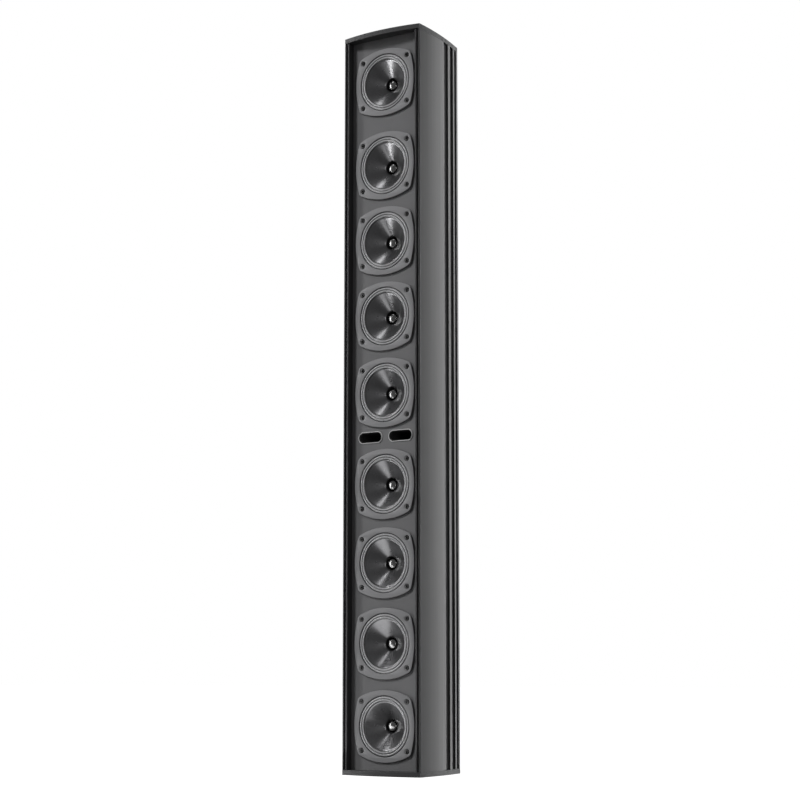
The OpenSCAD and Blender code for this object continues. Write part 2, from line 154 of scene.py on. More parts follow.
def lights():
    """A key from the upper left, two boxes for the right side, and strips that show in gloss."""
    centre = (0, 0, HEIGHT / 2)
    key = softbox("key", (-2.8, -4.6, 4.9), centre, (1.3, 1.3), 430)
    key.visible_glossy = False
    softbox("rear", (0.68, 2.5, 0.7), (0.1, 0, 0.55), (0.6, 3.0), 22)
    softbox("side", (2.6, 0.9, 0.8), centre, (1.0, 2.6), 60)
    left = softbox("left_strip", (-1.5, FRONT_Y - 0.9, 0.6), centre, (0.26, 2.6), 26)
    left.visible_diffuse = False
    softbox("corner_strip", (2.4, -1.7, 0.9), centre, (0.15, 2.0), 10)
    strip("overhead_strip", (-0.6, -0.78, 2.5), (0, 0, -11.5), (0.34, 1.2), 6.5)
    strip("floor_strip", (-0.3, -0.5, 0.03), (180, 0, -29), (0.24, 0.95), 1.4)


FILL_LEVEL = 0.13


def world():
    """White where the camera sees it, and a dim even fill for everything else."""
    shading = bpy.data.worlds.new("studio")
    bpy.context.scene.world = shading
    shading.use_nodes = True
    tree = shading.node_tree
    tree.nodes.clear()
    out = tree.nodes.new("ShaderNodeOutputWorld")
    mix = tree.nodes.new("ShaderNodeMixShader")
    seen = tree.nodes.new("ShaderNodeBackground")
    fill = tree.nodes.new("ShaderNodeBackground")
    path = tree.nodes.new("ShaderNodeLightPath")
    seen.inputs["Color"].default_value = (1, 1, 1, 1)
    fill.inputs["Color"].default_value = (FILL_LEVEL, FILL_LEVEL, FILL_LEVEL, 1)
    tree.links.new(path.outputs["Is Camera Ray"], mix.inputs[0])
    tree.links.new(fill.outputs[0], mix.inputs[1])
    tree.links.new(seen.outputs[0], mix.inputs[2])
    tree.links.new(mix.outputs[0], out.inputs[0])


FLOOR_HALF = 14
FLOOR_Z = -0.0003
FLOOR_BASE, FLOOR_GLOW = 0.25, 1.02


def floor():
    """A pale studio floor that glows a little, so that it has no horizon."""
    h = FLOOR_HALF
    mesh = bpy.data.meshes.new("floor")
    mesh.from_pydata([(-h, -h, 0), (h, -h, 0), (h, h, 0), (-h, h, 0)], [], [(0, 1, 2, 3)])
    obj = bpy.data.objects.new("floor", mesh)
    bpy.context.collection.objects.link(obj)
    obj.location.z = FLOOR_Z
    obj.visible_glossy = False
    obj.visible_diffuse = False
    mat = bpy.data.materials.new("floor")
    mat.use_nodes = True
    shader = mat.node_tree.nodes["Principled BSDF"]
    shader.inputs["Base Color"].default_value = (FLOOR_BASE, FLOOR_BASE, FLOOR_BASE, 1)
    shader.inputs["Emission Color"].default_value = (1, 1, 1, 1)
    shader.inputs["Emission Strength"].default_value = FLOOR_GLOW
    shader.inputs["Roughness"].default_value = 0.9
    shader.inputs["Specular IOR Level"].default_value = 0.1
    mesh.materials.append(mat)


# ---------------------------------------------------------------- materials

class Finish:
    """A procedural material: a Principled shader and the small node groups that feed it."""

    def __init__(self, name, rough, metallic=0.0, specular=0.5, coat=0.0, coat_rough=0.1):
        self.mat = bpy.data.materials.new(name)
        self.mat.use_nodes = True
        self.tree = self.mat.node_tree
        self.shader = self.tree.nodes["Principled BSDF"]
        self.place = self.node("ShaderNodeTexCoord").outputs["Object"]
        self.put("Roughness", rough)
        self.put("Metallic", metallic)
        self.put("Specular IOR Level", specular)
        self.put("Coat Weight", coat)
        self.put("Coat Roughness", coat_rough)

    def node(self, kind, **values):
        made = self.tree.nodes.new(kind)
        for key, value in values.items():
            setattr(made, key, value)
        return made

    def put(self, socket, value):
        self.shader.inputs[socket].default_value = value

    def link(self, a, b):
        self.tree.links.new(a, b)

    def noise(self, scale, detail=3, stretch=(1, 1, 1), place=None):
        mapping = self.node("ShaderNodeMapping")
        mapping.inputs["Scale"].default_value = stretch
        self.link(place or self.place, mapping.inputs["Vector"])
        noise = self.node("ShaderNodeTexNoise")
        noise.inputs["Scale"].default_value = scale
        noise.inputs["Detail"].default_value = detail
        self.link(mapping.outputs[0], noise.inputs["Vector"])
        return noise.outputs["Fac"]

    def spread(self, value, low, high, start=0.3, end=0.7):
        remap = self.node("ShaderNodeMapRange")
        self.link(value, remap.inputs["Value"])
        for socket, number in (("From Min", start), ("From Max", end), ("To Min", low), ("To Max", high)):
            remap.inputs[socket].default_value = number
        return remap.outputs[0]

    def colour(self, value, dark, light, low=0.3, high=0.7):
        ramp = self.node("ShaderNodeValToRGB")
        ramp.color_ramp.elements[0].position = low
        ramp.color_ramp.elements[1].position = high
        ramp.color_ramp.elements[0].color = (*dark, 1)
        ramp.color_ramp.elements[1].color = (*light, 1)
        self.link(value, ramp.inputs[0])
        self.link(ramp.outputs[0], self.shader.inputs["Base Color"])

    def roughness(self, value, low, high):
        self.link(self.spread(value, low, high), self.shader.inputs["Roughness"])

    def bump(self, *layers):
        """Each layer is (height value, depth in metres). Layers add up."""
        normal = None
        for value, depth in layers:
            bump = self.node("ShaderNodeBump")
            bump.inputs["Strength"].default_value = 1.0
            bump.inputs["Distance"].default_value = depth
            self.link(value, bump.inputs["Height"])
            if normal is not None:
                self.link(normal, bump.inputs["Normal"])
            normal = bump.outputs[0]
        self.link(normal, self.shader.inputs["Normal"])


def grey(level, tint=(1, 1, 1.03)):
    return tuple(level * t for t in tint)


def powder_coat(name, level, rough=0.5, grain=1400, depth=0.03, specular=0.5):
    """Baked powder paint: fine orange peel, faint cloudiness and a slightly uneven gloss."""
    f = Finish(name, rough, specular=specular)
    cloud = f.noise(9, 4)
    speck = f.noise(grain, 2)
    f.colour(f.spread(cloud, 0.0, 1.0), grey(level * 0.9), grey(level * 1.1), 0.0, 1.0)
    f.roughness(f.noise(60, 3), rough - 0.05, rough + 0.06)
    f.bump((speck, depth * MM), (f.noise(grain / 4, 2), depth * MM * 1.5))
    return f.mat


def anodised(name, level, rough=0.36):
    """Satin anodised extrusion: long drawing lines up the profile and a faint mottle."""
    f = Finish(name, rough, metallic=0.55, specular=0.6)
    lines = f.noise(900, 3, (1, 1, 0.004))
    bands = f.noise(60, 2, (1, 1, 0.01))
    f.colour(f.spread(bands, 0.25, 0.75), grey(level * 0.9), grey(level * 1.12), 0.0, 1.0)
    f.roughness(lines, rough - 0.05, rough + 0.07)
    f.bump((lines, 0.012 * MM), (f.noise(2200, 2), 0.006 * MM))
    return f.mat


TURNED_PITCH = 1.3


def cone_gloss():
    """Gloss cone with fine turned rings, worked out from the distance to the driver's axis."""
    f = Finish("cone_gloss", 0.24, metallic=0.9, specular=0.6, coat=0.2, coat_rough=0.15)
    flat = f.node("ShaderNodeVectorMath", operation="MULTIPLY")
    f.link(f.place, flat.inputs[0])
    flat.inputs[1].default_value = (1, 1, 0)
    radius = f.node("ShaderNodeVectorMath", operation="LENGTH")
    f.link(flat.outputs[0], radius.inputs[0])
    rings = f.node("ShaderNodeMath", operation="SINE")
    turns = f.node("ShaderNodeMath", operation="MULTIPLY")
    turns.inputs[1].default_value = TURN / (TURNED_PITCH * MM)
    f.link(radius.outputs["Value"], turns.inputs[0])
    f.link(turns.outputs[0], rings.inputs[0])
    f.colour(f.noise(120, 2), grey(0.16), grey(0.18))
    f.roughness(f.noise(90, 2), 0.27, 0.31)
    f.bump((rings.outputs[0], 0.001 * MM))
    return f.mat


def rubber():
    """Satin rubber. The crests of the rolls are painted lighter, as a highlight, and the creases darker, as
    shade, from the mesh's values.
    """
    f = Finish("surround_rubber", 0.3, specular=0.8, coat=0.5, coat_rough=0.22)
    crest = f.node("ShaderNodeAttribute", attribute_name="crest")
    crest_light_and_mottle = f.node("ShaderNodeMath", operation="MULTIPLY_ADD")
    f.link(f.noise(300, 3), crest_light_and_mottle.inputs[0])
    crest_light_and_mottle.inputs[1].default_value = 0.2
    f.link(crest.outputs["Fac"], crest_light_and_mottle.inputs[2])
    # painted highlight on the roll crests and painted shade in the creases, with a little random mottle from
    # the noise
    f.colour(crest_light_and_mottle.outputs[0], grey(0.016), grey(0.27), 0.15, 0.95)
    f.roughness(f.noise(220, 4), 0.26, 0.38)
    f.bump((f.noise(2600, 2), 0.008 * MM))
    return f.mat


def metal(name, level, rough, tint=(1, 1, 1), grain=900, depth=0.008):
    """Bare or plated metal with fine scratches and slightly cloudy colour."""
    f = Finish(name, rough, metallic=1.0)
    scratch = f.noise(grain, 4)
    f.colour(f.noise(45, 4), grey(level * 0.9, tint), grey(level * 1.08, tint))
    f.roughness(scratch, rough - 0.06, rough + 0.08)
    f.bump((scratch, depth * MM))
    return f.mat


def plastic(name, level, rough, tint=(1, 1, 1), grain=1500, depth=0.02):
    """Moulded plastic, or paint, with a fine grain."""
    f = Finish(name, rough, specular=0.5)
    f.colour(f.noise(25, 4), grey(level * 0.88, tint), grey(level * 1.1, tint))
    f.roughness(f.noise(90, 4), rough - 0.05, rough + 0.06)
    f.bump((f.noise(grain, 2), depth * MM))
    return f.mat


def open_foam():
    """Open cells, with painted shade deep in each cell."""
    f = Finish("open_cell_foam", 0.95, specular=0.15)
    cells = f.node("ShaderNodeTexVoronoi")
    cells.inputs["Scale"].default_value = 900
    f.link(f.place, cells.inputs["Vector"])
    # painted shade: the colour darkens where the bump sinks deepest in each cell
    f.colour(f.spread(cells.outputs["Distance"], 1.0, 0.0, 0.0, 0.8), grey(0.03), grey(0.13), 0.0, 1.0)
    f.bump((cells.outputs["Distance"], -0.5 * MM))
    return f.mat


THREADS = 420


def cloth(name, tint):
    """Plain woven cloth: warp and weft cross as two bands."""
    f = Finish(name, 0.8, specular=0.25)
    warp = f.node("ShaderNodeTexWave", bands_direction="X")
    weft = f.node("ShaderNodeTexWave", bands_direction="Z")
    for wave in (warp, weft):
        wave.inputs["Scale"].default_value = THREADS
        f.link(f.place, wave.inputs["Vector"])
    weave = f.node("ShaderNodeMath", operation="MULTIPLY")
    f.link(warp.outputs["Fac"], weave.inputs[0])
    f.link(weft.outputs["Fac"], weave.inputs[1])
    f.colour(weave.outputs[0], grey(0.5, tint), grey(1.0, tint), 0.1, 0.8)
    f.bump((weave.outputs[0], 0.08 * MM))
    return f.mat


# ---------------------------------------------------------------- mesh tools

def to_object(name, mesh, mat, body, replaces, sharp=38):
    """Links a mesh as one piece, with its material, body and the CAD nodes it stands for."""
    for face in mesh.polygons:
        face.use_smooth = True
    mesh.set_sharp_from_angle(angle=math.radians(sharp))
    mesh.materials.clear()
    mesh.materials.append(mat)
    obj = bpy.data.objects.new(name, mesh)
    bpy.context.collection.objects.link(obj)
    if body is not None:
        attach(obj, body)
    if replaces:
        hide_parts(*replaces)
    return obj


def bmesh_to_mesh(bm, name):
    """Ends a bmesh as a mesh with its points merged and its normals outwards."""
    bmesh.ops.remove_doubles(bm, verts=bm.verts, dist=1e-7)
    bmesh.ops.recalc_face_normals(bm, faces=bm.faces)
    mesh = bpy.data.meshes.new(name)
    bm.to_mesh(mesh)
    bm.free()
    return mesh


def face_front(obj, z, x=0.0, y=None):
    """Puts a piece made about its own Z axis onto the baffle, so that its Z looks out of the front."""
    obj.location = (x, BAFFLE_Y if y is None else y, z)
    obj.rotation_euler = (math.pi / 2, 0, 0)
    return obj


def face_back(obj, z, x=0.0, y=None):
    """Puts a piece made about its own Z axis onto the back, so that its Z looks out of the rear."""
    obj.location = (x, BACK_Y if y is None else y, z)
    obj.rotation_euler = (math.pi / 2, 0, math.pi)
    return obj


def circle(r, count, centre=(0, 0)):
    turns = [TURN * k / count for k in range(count)]
    return [(centre[0] + r * math.cos(a), centre[1] + r * math.sin(a)) for a in turns]


def ring_of(bm, r, z, count):
    """A ring of points about Z, in millimetres."""
    return [bm.verts.new((x * MM, y * MM, z * MM)) for x, y in circle(r, count)]


def obround(width, height, count=24, centre=(0, 0)):
    """A slot's outline: two half circles joined by straight sides."""
    r = height / 2
    reach = (width - height) / 2
    ends = []
    for side in (1, -1):
        for k in range(count + 1):
            a = math.pi * (k / count - 0.5) + (0 if side > 0 else math.pi)
            ends.append((centre[0] + side * reach + r * math.cos(a), centre[1] + r * math.sin(a)))
    return ends


def box_outline(x0, y0, x1, y1):
    return [(x0, y0), (x1, y0), (x1, y1), (x0, y1)]


def rounded(points, r, steps=5):
    """A closed outline with every corner rounded to radius r where its sides are long enough."""
    made = []
    n = len(points)
    for k in range(n):
        p = Vector(points[k])
        a = Vector(points[k - 1]) - p
        b = Vector(points[(k + 1) % n]) - p
        if a.length < 1e-6 or b.length < 1e-6:
            continue
        half = a.angle(b) / 2
        if half > math.radians(80):
            made.append(tuple(p))
            continue
        back = min(r / math.tan(half), a.length * 0.45, b.length * 0.45)
        radius = back * math.tan(half)
        start, end = p + a.normalized() * back, p + b.normalized() * back
        centre = p + (a.normalized() + b.normalized()).normalized() * radius / math.sin(half)
        u, v = start - centre, end - centre
        for s in range(steps + 1):
            made.append(tuple(centre + u.slerp(v, s / steps).normalized() * radius))
    return made


def lathe_mesh(profile, count=128, closed=True, name="lathe"):
    """Turns (radius, height) points, in millimetres, about Z. A closed profile makes a ring."""
    bm = bmesh.new()
    rings = []
    for r, z in profile:
        if r < 1e-6:
            rings.append([bm.verts.new((0, 0, z * MM))] * count)
            continue
        rings.append(ring_of(bm, r, z, count))
    pairs = list(zip(rings, rings[1:]))
    if closed:
        pairs.append((rings[-1], rings[0]))
    for a, b in pairs:
        for k in range(count):
            j = (k + 1) % count
            corners = []
            for v in (a[k], a[j], b[j], b[k]):
                if v not in corners:
                    corners.append(v)
            if len(corners) > 2:
                bm.faces.new(corners)
    return bmesh_to_mesh(bm, name)


def arc(cx, cz, r, start, end, steps=8):
    """Points of an arc in a profile, angles in degrees."""
    turn = [math.radians(start + (end - start) * k / steps) for k in range(steps + 1)]
    return [(cx + r * math.cos(a), cz + r * math.sin(a)) for a in turn]


def plate_mesh(loops, z0, z1, bevel, name="plate"):
    """A flat plate in the XY plane from z0 to z1, outline first and then its holes, with rounded edges."""
    data = bpy.data.curves.new(name, "CURVE")
    data.dimensions = "2D"
    data.fill_mode = "BOTH"
    data.extrude = (z1 - z0) / 2 * MM - bevel * MM
    data.bevel_depth = bevel * MM
    data.bevel_resolution = 2
    data.offset = -bevel * MM
    for points in loops:
        spline = data.splines.new("POLY")
        spline.points.add(len(points) - 1)
        for point, (x, y) in zip(spline.points, points):
            point.co = (x * MM, y * MM, 0, 1)
        spline.use_cyclic_u = True
    obj = bpy.data.objects.new(name, data)
    bpy.context.collection.objects.link(obj)
    bpy.context.view_layer.update()
    mesh = bpy.data.meshes.new_from_object(obj.evaluated_get(bpy.context.evaluated_depsgraph_get()))
    bpy.data.objects.remove(obj)
    mesh.transform(Matrix.Translation((0, 0, (z0 + z1) / 2 * MM)))
    bm = bmesh.new()
    bm.from_mesh(mesh)
    return bmesh_to_mesh(bm, name)


def joined(meshes, name):
    """One mesh from several (mesh, matrix) pairs."""
    bm = bmesh.new()
    for mesh, matrix in meshes:
        copy = mesh.copy()
        copy.transform(matrix)
        bm.from_mesh(copy)
        bpy.data.meshes.remove(copy)
    out = bpy.data.meshes.new(name)
    bm.to_mesh(out)
    bm.free()
    return out


def crisp(obj):
    """Keeps flat faces flat next to small rounded edges."""
    mod = obj.modifiers.new("flat_faces", "WEIGHTED_NORMAL")
    mod.keep_sharp = True
    return obj


# ---------------------------------------------------------------- cabinet

FRONT_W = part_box("top_cap")[1].x * 2 / MM
SIDE_DEPTH, SIDE_TAPER, SIDE_BOW, FRONT_BOW = 128.5, 16.3, 3.6, 7.8
REAR_DEPTH = (BACK_Y - FRONT_Y) / MM
REAR_R, FRONT_R = 6, 1.5
WALL_T, LIP_W = 3.5, 8.8
BAFFLE_DEPTH = (BAFFLE_Y - FRONT_Y) / MM
BAFFLE_T = 5
GROOVES = [(76, 15), (99, 12), (117, 8)]
GROOVE_DEPTH = 3.2
HALF_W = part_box("right_side_panel")[1].x / MM
GRILLE_GROOVE_W, GRILLE_GROOVE_DEPTH = 3, 2.5
BAFFLE_SLOT = 4
LIP_T = 5.5
LAP_X, LAP_EDGE_X = 44, 37.9
SCREW_PORT_R, HEAD_HOLE_R = 2.1, 3.45


def side_x(depth):
    """Half width of the cabinet's plan at a depth behind the front corners."""
    chord = math.hypot(SIDE_TAPER, SIDE_DEPTH)
    r = chord * chord / (8 * SIDE_BOW) + SIDE_BOW / 2
    tilt = math.atan(SIDE_TAPER / SIDE_DEPTH)
    cx = HALF_W - SIDE_TAPER / 2 - (r - SIDE_BOW) * math.cos(tilt)
    cy = SIDE_DEPTH / 2 - (r - SIDE_BOW) * math.sin(tilt)
    return cx + math.sqrt(r * r - (depth - cy) ** 2)


def side_run(start, end, inset=0.0, steps=12):
    return [
        (side_x(d) - inset, d)
        for d in (start + (end - start) * k / steps for k in range(steps + 1))
    ]


def panel_outline():
    """Section of the right side panel, in millimetres: x outwards and y back from the front corners."""
    lip_x = HALF_W - LIP_W
    slot_x = lip_x + BAFFLE_SLOT
    slot_back = BAFFLE_DEPTH + BAFFLE_T + 0.1
    lip_back = BAFFLE_DEPTH + BAFFLE_T + LIP_T
    thick = WALL_T + GROOVE_DEPTH
    rear_x = HALF_W - SIDE_TAPER - REAR_R
    groove = [HALF_W - LIP_W / 2 + s * GRILLE_GROOVE_W / 2 for s in (-1, 1)]
    floor_y = GRILLE_GROOVE_DEPTH
    outline = [(lip_x, 0), (groove[0], 0), (groove[0], floor_y), (groove[1], floor_y), (groove[1], 0)]
    outline += arc(HALF_W - FRONT_R, FRONT_R, FRONT_R, -90, 0, 6)
    start = FRONT_R + 0.5
    for at, width in GROOVES:
        outline += side_run(start, at, steps=14 if start < 50 else 4)
        outline += side_run(at, at + width, GROOVE_DEPTH, 4)
        start = at + width
    outline += side_run(start, REAR_DEPTH - REAR_R, steps=3)
    outline += arc(rear_x, REAR_DEPTH - REAR_R, REAR_R, 10, 90, 8)
    outline += [(LAP_X, REAR_DEPTH), (LAP_X, REAR_DEPTH - WALL_T), (LAP_EDGE_X, REAR_DEPTH - WALL_T)]
    outline += [(LAP_EDGE_X, REAR_DEPTH - 2 * WALL_T)]
    outline += reversed(side_run(70, REAR_DEPTH - 2 * WALL_T, thick, 8))
    outline += reversed(side_run(lip_back, 70, WALL_T, 8))
    outline += [(lip_x, lip_back), (lip_x, slot_back), (slot_x, slot_back)]
    outline += [(slot_x, BAFFLE_DEPTH), (lip_x, BAFFLE_DEPTH)]
    return rounded(outline, 0.35, 3)


def cap_outline():
    """Plan of the caps: bowed front, bowed sides and round rear corners."""
    r = FRONT_W ** 2 / (8 * FRONT_BOW) + FRONT_BOW / 2
    half = math.degrees(math.asin((HALF_W - 0.8) / r))
    front = arc(0, r - FRONT_BOW, r, -90 - half, -90 + half, 40)
    right = side_run(1.6, REAR_DEPTH - REAR_R, steps=24)
    rear_x = HALF_W - SIDE_TAPER - REAR_R
    corner = arc(rear_x, REAR_DEPTH - REAR_R, REAR_R, 12, 90, 10)
    half_plan = right + corner
    return front + half_plan + [(-x, y) for x, y in reversed(half_plan)]


CAP_SCREWS = [(HALF_W - LIP_W / 2, 6.6), (61, 46), (46, 121)]
RECESS_HALF_W, RECESS_HALF_H = 30, 48
SOCKET_ZS = (22, -22)
REAR_SCREW_ZS = (24, 168, 360, 555, 750, 945, 1086)
INSERT_R = 4.5
BRACKET_PITCH = 100
REAR_SCREW_INSET = 3.9
BOWL_FLOOR_R = 33.5 * MM


def upright(obj, z=0.0):
    """Puts a piece drawn in plan, with y measured back from the front corners, into place."""
    obj.location = (0, FRONT_Y, z)
    return obj


def build_cabinet(mats):
    """The two side profiles and the two caps."""
    outline = panel_outline()
    ports = [circle(SCREW_PORT_R, 16, spot) for spot in CAP_SCREWS[:1]]
    for side, name in ((1, "right"), (-1, "left")):
        loops = [[(side * x, y) for x, y in loop] for loop in [outline] + ports]
        mesh = plate_mesh(loops, CAP_T / MM, (HEIGHT - CAP_T) / MM, 0.2, name)
        node = f"{name}_side_panel"
        obj = to_object(f"{name}_side_profile", mesh, mats["profile"], CABINET, [node])
        crisp(upright(obj))
    holes = [circle(HEAD_HOLE_R, 32, (s * x, y)) for x, y in CAP_SCREWS for s in (1, -1)]
    cap = plate_mesh([cap_outline()] + holes, 0, CAP_T / MM, 0.45, "cap")
    for name, z in (("top", HEIGHT - CAP_T), ("bottom", 0)):
        obj = to_object(f"{name}_cap_plate", cap.copy(), mats["caps"], CABINET, [f"{name}_cap"])
        crisp(upright(obj, z))


def build_baffle(mats):
    """The front plate, with its holes for the drivers, their screws and the ports."""
    low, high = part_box("baffle")
    middle = (low.z + high.z) / 2
    loops = [box_outline(low.x / MM, (low.z - middle) / MM, high.x / MM, (high.z - middle) / MM)]
    for i in NUMBERS:
        z = (DRIVER_Z[i] - middle) / MM
        loops.append(circle(DRIVER_HOLE_R, 96, (0, z)))
        loops += [circle(DRIVER_SCREW_R, 16, (x, z + dz)) for x, dz in driver_screws()]
    for side in ("left", "right"):
        at = mid(f"port_{side}")
        centre = (at.x / MM, (at.z - middle) / MM)
        loops.append(obround(PORT_W - 2, PORT_H - 2, centre=centre))
    mesh = plate_mesh(loops, -BAFFLE_T, 0, 0.25, "baffle")
    obj = to_object("baffle_plate", mesh, mats["baffle"], CABINET, ["baffle"])
    crisp(face_front(obj, middle))


# ---------------------------------------------------------------- drivers

FRAME_HALF_W, FRAME_HALF_H = 52.8, 51.8
SIDE_ARC_R, TOP_ARC_R, CORNER_R = 122, 100, 10
SCREW_X, SCREW_Z = 40, 35.3
FLANGE_T = 3.5
BOWL_T = 1.4
DRIVER_HOLE_R, DRIVER_SCREW_R = 45.6, 2.05
LEDGE = 1.6
SEAT_R = 44.3
THROAT_R = 41.0
SCREW_WELL_R, SCREW_CLEAR_R = 4.0, 2.2
CONE_R = 36.0
CONE_SWELL = 0.35
ROLL_R = 1.8
ROLL_T = 0.6
ROLL_MIDS = (CONE_R + ROLL_R, CONE_R + 3 * ROLL_R)
COIL_R = 10.2
SPIDER_R = 26.9


def driver_screws():
    return [(sx * SCREW_X, sz * SCREW_Z) for sx in (1, -1) for sz in (1, -1)]


def frame_outline(inset=0.0):
    """Pillow outline of a driver frame: four shallow arcs joined by round corners."""
    side = Vector((FRAME_HALF_W - SIDE_ARC_R, 0))
    top = Vector((0, FRAME_HALF_H - TOP_ARC_R))
    ra, rb = SIDE_ARC_R - CORNER_R, TOP_ARC_R - CORNER_R
    span = top - side
    d = span.length
    along = (d * d + ra * ra - rb * rb) / (2 * d)
    u = span / d
    corner = side + along * u + math.sqrt(ra * ra - along * along) * Vector((-u.y, u.x))
    a_side = math.degrees(math.atan2(corner.y - side.y, corner.x - side.x))
    a_top = math.degrees(math.atan2(corner.y - top.y, corner.x - top.x))
    quarter = arc(side.x, side.y, SIDE_ARC_R - inset, 0, a_side, 10)
    quarter += arc(corner.x, corner.y, CORNER_R - inset, a_side, a_top, 10)[1:]
    quarter += arc(top.x, top.y, TOP_ARC_R - inset, a_top, 90, 10)[1:]
    half = quarter + [(-x, y) for x, y in reversed(quarter[:-1])]
    return half + [(x, -y) for x, y in reversed(half[1:-1])]


def screw_mesh(profile, socket_r, socket_depth, count=48):
    """A screw about Z: the profile runs from the top edge of the socket to the tip, in millimetres."""
    top = profile[0][1]
    bm = bmesh.new()

    def hexagon(z):
        made = []
        for k in range(count):
            a = TURN * k / count
            within = (a % (TURN / 6)) - TURN / 12
            r = socket_r * math.cos(TURN / 12) / math.cos(within)
            made.append(bm.verts.new((r * MM * math.cos(a), r * MM * math.sin(a), z * MM)))
        return made

    rings = [hexagon(top - socket_depth), hexagon(top)]
    rings += [ring_of(bm, r, z, count) for r, z in profile[1:]]
    for a, b in zip(rings, rings[1:]):
        for k in range(count):
            j = (k + 1) % count
            bm.faces.new((a[k], a[j], b[j], b[k]))
    bm.faces.new(rings[0])
    bm.faces.new(rings[-1])
    return bmesh_to_mesh(bm, "screw")


def basket_mesh():
    """The sheet bowl behind the flange: a turned skin with six windows, thickened."""
    rim, shoulder = [(44.2, 0.4), (44.2, -3.8)], [(42.4, -6.5), (34.6, -19.5)]
    can = [(32.8, -23), (32.8, -30.2), (31, -30.2), (13.3, -30.2)]
    count, windows, leg, window_row = 96, 6, 4, 2
    bm = bmesh.new()
    rings = [ring_of(bm, r, z, count) for r, z in rim + shoulder + can]
    for row, (a, b) in enumerate(zip(rings, rings[1:])):
        for k in range(count):
            open_here = (k + leg // 2) % (count // windows) >= leg
            if row != window_row or not open_here:
                bm.faces.new((a[k], a[(k + 1) % count], b[(k + 1) % count], b[k]))
    bmesh.ops.recalc_face_normals(bm, faces=bm.faces)
    bmesh.ops.solidify(bm, geom=bm.faces[:], thickness=BOWL_T * MM)
    return bmesh_to_mesh(bm, "bowl")


def frame_meshes():
    """Front flange, the seat under it for the surround, and the bowl."""
    head_holes = [circle(SCREW_WELL_R, 32, spot) for spot in driver_screws()]
    shank_holes = [circle(SCREW_CLEAR_R, 24, spot) for spot in driver_screws()]
    upper = plate_mesh([frame_outline(), circle(SEAT_R, 128)] + head_holes, LEDGE - 0.1, FLANGE_T, 0.5)
    lower = plate_mesh([frame_outline(0.35), circle(THROAT_R, 128)] + shank_holes, 0, LEDGE, 0.15)
    return [upper, lower, basket_mesh()]


def cone_profile():
    """Front face from the neck to the rim, then back under it: nearly straight, with a flared rim."""
    steps = 14
    neck, rim = (10.3, -16.8), (34.2, 1.1)
    front = []
    for k in range(steps + 1):
        t = k / steps
        swell = CONE_SWELL * math.sin(math.pi * t)
        front.append((neck[0] + (rim[0] - neck[0]) * t, neck[1] + (rim[1] - neck[1]) * t + swell))
    back = [(r + 0.3, z - 0.5) for r, z in reversed(front[1:])]
    lip = [(34.7, 1.4), (35.3, 1.6), (35.9, 1.6), (CONE_R, 1.3), (35.9, 1.0), (35.1, 1.0)]
    return front + lip + back + [(10.3, -17.8)]


def surround_profile():
    """Two half rolls side by side, with a foot on the cone's rim and another on the frame's seat."""
    mids = ROLL_MIDS
    top = [(35.6, LEDGE + 0.05), (35.7, LEDGE + 0.45), (35.9, LEDGE + ROLL_T)]
    for r in mids:
        top += arc(r, LEDGE, ROLL_R, 159, 21, 14)
    top += [(SEAT_R - 0.8, LEDGE + ROLL_T), (SEAT_R - 0.2, LEDGE + 0.5), (SEAT_R - 0.12, LEDGE + 0.02)]
    under = [(SEAT_R - 1.2, LEDGE + 0.02)]
    for r in reversed(mids):
        under += arc(r, LEDGE + 0.02, ROLL_R - ROLL_T, 0, 180, 12)
    return top + under


def mark_crests(mesh):
    """Stores how near each point is to the crest of a roll, for the rubber's painted highlight on the crests
    and painted shade in the creases.
    """
    values = mesh.attributes.new("crest", "FLOAT", "POINT").data
    for vertex, value in zip(mesh.vertices, values):
        r = math.hypot(vertex.co.x, vertex.co.y) / MM
        off = min(abs(r - mid_r) for mid_r in ROLL_MIDS) / ROLL_R
        value.value = max(0, 1 - off ** 2)
    return mesh


def plug_profile():
    """A flat-domed post: a shallow crown, a rounded shoulder and a straight side."""
    tip_z, r, crown_r, shoulder = -15.55, 7.28, 13.0, 2.6
    turn = math.degrees(math.asin((r - shoulder) / (crown_r - shoulder)))
    crown = arc(0, tip_z - crown_r, crown_r, 90, 90 - turn, 8)
    centre_z = tip_z - crown_r + (crown_r - shoulder) * math.cos(math.radians(turn))
    edge = arc(r - shoulder, centre_z, shoulder, 90 - turn, 0, 10)
    return [(0.0, tip_z)] + crown[1:] + edge[1:] + [(r, -29.9), (r - 0.4, -30.4), (0.0, -30.4)]


def spider_profile(waves=5, steps=60):
    """Corrugated cloth from the coil to the bowl, with a flat rim."""
    start, end, z = COIL_R + 0.15, SPIDER_R, -22.4
    top = []
    for k in range(steps + 1):
        r = start + (end - start) * k / steps
        top.append((r, z + 0.8 * math.sin(TURN * waves * k / steps) + 0.45))
    low = [(r, h - 0.4) for r, h in reversed(top)]
    return top + [(31.7, z + 0.45), (31.7, z + 0.05)] + low


def coil_meshes():
    """The tube that carries the coil, and its wound wire."""
    top_z, low_z, wound_z, turns = -16.6, -38.4, -28.5, 22
    inner, under = COIL_R - 0.25, COIL_R + 0.02
    former = lathe_mesh([(inner, top_z), (COIL_R, top_z), (COIL_R, low_z), (inner, low_z)], 96)
    winding = [(under, wound_z)]
    length = 10.0
    pitch = length / turns
    for k in range(turns):
        winding += arc(COIL_R + 0.16, wound_z - pitch * (k + 0.5), pitch / 2, 90, -90, 4)
    winding.append((under, wound_z - length))
    return former, lathe_mesh(winding, 96)


def flex(piece, i, inner, outer):
    """A ring that joins the cabinet, at its outer radius, to the moving cone, at its inner one."""
    at = (0, BAFFLE_Y, DRIVER_Z[i])
    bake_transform(piece, CABINET, moving(i), start=(outer * MM, at[1], at[2]), end=(inner * MM, at[1], at[2]))
    weights = piece.data.attributes["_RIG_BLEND"].data
    for vertex, weight in zip(piece.data.vertices, weights):
        r = math.hypot(vertex.co.x, vertex.co.z - at[2]) / MM
        t = min(1, max(0, (outer - r) / (outer - inner)))
        weight.value = t * t * (3 - 2 * t)


